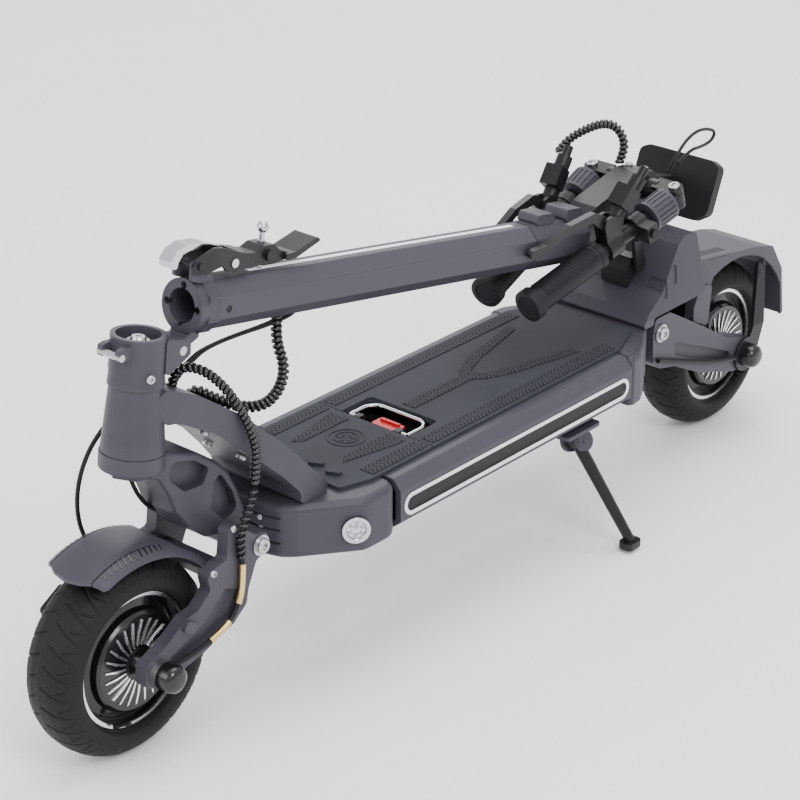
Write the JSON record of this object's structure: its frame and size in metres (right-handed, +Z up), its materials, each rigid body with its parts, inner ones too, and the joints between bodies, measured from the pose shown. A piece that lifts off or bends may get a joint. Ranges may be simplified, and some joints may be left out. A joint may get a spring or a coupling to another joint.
{
  "type": "folding electric kick scooter",
  "caption": "Folding electric kick scooter, folded: stem laid back over the deck, folding handlebar, sprung swing arms, hub motors, side stand.",
  "frame": {"origin": "on the top face of the foot deck, on the centre plane, midway between the two wheel axles", "axes": "+X forward, +Y to the rider's left, +Z up"},
  "size_m": [1.3265, 0.2892, 0.551],
  "materials": {
    "frame_paint": "satin purple-grey paint",
    "black_metal": "satin black",
    "black_gloss": "gloss black",
    "tyre": "matte rubber",
    "rubber": "matte rubber",
    "mat_rubber": "textured rubber",
    "silver": "machined",
    "steel": "zinc plated",
    "chrome": "polished",
    "lamp": "translucent white",
    "black_plastic": "fine texture",
    "red_plastic": "gloss",
    "brass": "satin"
  },
  "bodies": {
    "deck": {"deck_shell": "frame_paint", "deck_ends": "frame_paint", "neck": "frame_paint", "deck_mat": "mat_rubber", "battery_pack": "black_plastic", "controllers": "black_plastic", "deck_lamps": "lamp", "deck_trim": "black_plastic", "kick_plate": "frame_paint", "catch_block": "black_metal", "stand_bracket": "black_metal", "deck_bolts": "steel", "stem_harness": "rubber", "neck_harness": "rubber"},
    "steer": {"fork_crown": "frame_paint", "steerer_and_pivot": "steel", "stem_base": "frame_paint", "base_pins": "steel"},
    "front_arm": {"front_arm": "frame_paint", "front_axle": "steel", "front_fender": "frame_paint", "front_caliper": "black_plastic", "front_motor_lead": "brass"},
    "front_wheel": {"front_tyre": "tyre", "front_hub": "black_gloss", "front_trim": "silver"},
    "stem": {"stem_tube": "frame_paint", "stem_foot": "frame_paint", "stem_head": "frame_paint", "stem_led": "lamp", "bar_riser": "black_metal", "bar_pins": "steel", "display": "black_plastic", "bar_harness": "rubber"},
    "latch_lever": {"latch_lever": "black_metal"},
    "latch_hook": {"latch_hook": "chrome"},
    "safety_pin": {"safety_pin": "chrome"},
    "left_bar": {"left_bar": "black_metal", "left_grip": "rubber"},
    "right_bar": {"right_bar": "black_metal", "right_grip": "rubber"},
    "left_collar": {"left_collar": "frame_paint"},
    "right_collar": {"right_collar": "frame_paint"},
    "left_lever": {"left_lever": "black_metal"},
    "right_lever": {"right_lever": "black_metal"},
    "horn_button": {"horn_button": "black_plastic"},
    "throttle": {"throttle": "black_plastic"},
    "rear_arm": {"rear_arm": "frame_paint", "rear_axle": "steel", "rear_fender": "frame_paint", "rear_stays": "black_metal", "rear_caliper": "black_plastic", "rear_motor_lead": "brass"},
    "rear_wheel": {"rear_tyre": "tyre", "rear_hub": "black_gloss", "rear_trim": "silver"},
    "kickstand": {"stand_leg": "black_metal"},
    "catch": {"catch_hook": "black_metal"},
    "battery_handle": {"handle_bail": "chrome"},
    "battery_latch": {"battery_latch": "red_plastic"}
  },
  "joints": [
    {"name": "steering", "type": "hinge", "parent": "deck", "child": "steer", "pos_m": [0.511, 0, 0.084], "axis": [-0.1305, 0, 0.9914], "range_deg": [-40, 40]},
    {"name": "front_suspension", "type": "hinge", "parent": "steer", "child": "front_arm", "pos_m": [0.385, 0, -0.031], "axis": [0, -1, 0], "range_deg": [-5, 8], "stiffness_Nm_per_rad": 420, "springref_deg": -6.7},
    {"name": "front_wheel_spin", "type": "hinge", "parent": "front_arm", "child": "front_wheel", "pos_m": [0.5425, 0, -0.119], "axis": [0, 1, 0], "continuous": true},
    {"name": "stem_fold", "type": "hinge", "parent": "steer", "child": "stem", "pos_m": [0.45498, 0, 0.21299], "axis": [0, 1, 0], "range_deg": [0, 93]},
    {"name": "latch_lever_pivot", "type": "hinge", "parent": "stem", "child": "latch_lever", "pos_m": [0.41692, 0, 0.29245], "axis": [0, 1, 0], "range_deg": [0, 60]},
    {"name": "latch_hook_pivot", "type": "hinge", "parent": "latch_lever", "child": "latch_hook", "pos_m": [0.36791, 0, 0.28144], "axis": [0, -1, 0], "range_deg": [-9, 50]},
    {"name": "safety_pin_pull", "type": "slide", "parent": "latch_lever", "child": "safety_pin", "axis": [-0.184, 0, 0.9829], "range_m": [0, 0.012], "stiffness_N_per_m": 300},
    {"name": "left_bar_fold", "type": "hinge", "parent": "stem", "child": "left_bar", "pos_m": [-0.37251, 0.064, 0.15305], "axis": [0.283, 0, 0.9591], "range_deg": [0, 96.7]},
    {"name": "right_bar_fold", "type": "hinge", "parent": "stem", "child": "right_bar", "pos_m": [-0.37251, -0.064, 0.15305], "axis": [-0.283, 0, -0.9591], "range_deg": [0, 96.7]},
    {"name": "left_collar_spin", "type": "hinge", "parent": "left_bar", "child": "left_collar", "pos_m": [-0.37251, 0.064, 0.15305], "axis": [0.9525, -0.1171, -0.2811], "continuous": true},
    {"name": "right_collar_spin", "type": "hinge", "parent": "right_bar", "child": "right_collar", "pos_m": [-0.37251, -0.064, 0.15305], "axis": [0.9525, 0.1171, -0.2811], "continuous": true},
    {"name": "left_brake_lever", "type": "hinge", "parent": "left_bar", "child": "left_lever", "pos_m": [-0.24382, 0.04937, 0.15052], "axis": [0.1123, 0.9931, -0.0331], "range_deg": [0, 15], "stiffness_Nm_per_rad": 2, "springref_deg": -4.58},
    {"name": "right_brake_lever", "type": "hinge", "parent": "right_bar", "child": "right_lever", "pos_m": [-0.24382, -0.04937, 0.15052], "axis": [-0.1123, 0.9931, 0.0331], "range_deg": [0, 15], "stiffness_Nm_per_rad": 2, "springref_deg": -4.58},
    {"name": "horn_button_press", "type": "slide", "parent": "left_bar", "child": "horn_button", "axis": [-0.1123, -0.9931, 0.0331], "range_m": [0, 0.0012], "stiffness_N_per_m": 800},
    {"name": "throttle_push", "type": "hinge", "parent": "right_bar", "child": "throttle", "pos_m": [-0.37251, -0.064, 0.15305], "axis": [0.9525, 0.1171, -0.2811], "range_deg": [0, 35], "stiffness_Nm_per_rad": 0.15, "springref_deg": -5.73},
    {"name": "rear_suspension", "type": "hinge", "parent": "deck", "child": "rear_arm", "pos_m": [-0.345, 0, -0.023], "axis": [0, 1, 0], "range_deg": [-5, 8], "stiffness_Nm_per_rad": 420, "springref_deg": -6.82},
    {"name": "rear_wheel_spin", "type": "hinge", "parent": "rear_arm", "child": "rear_wheel", "pos_m": [-0.5425, 0, -0.119], "axis": [0, 1, 0], "continuous": true},
    {"name": "kickstand_swing", "type": "hinge", "parent": "deck", "child": "kickstand", "pos_m": [-0.135, 0.098, -0.089], "axis": [0.1089, 0.9156, 0.3871], "range_deg": [0, 70]},
    {"name": "rear_catch_swing", "type": "hinge", "parent": "deck", "child": "catch", "pos_m": [-0.352, 0, 0.058], "axis": [0, -1, 0], "range_deg": [0, 28]},
    {"name": "battery_handle_lift", "type": "hinge", "parent": "deck", "child": "battery_handle", "pos_m": [0.12, 0, -0.0045], "axis": [0, 1, 0], "range_deg": [0, 85]},
    {"name": "battery_latch_slide", "type": "slide", "parent": "deck", "child": "battery_latch", "axis": [-1, 0, 0], "range_m": [0, 0.006], "stiffness_N_per_m": 400}
  ]
}
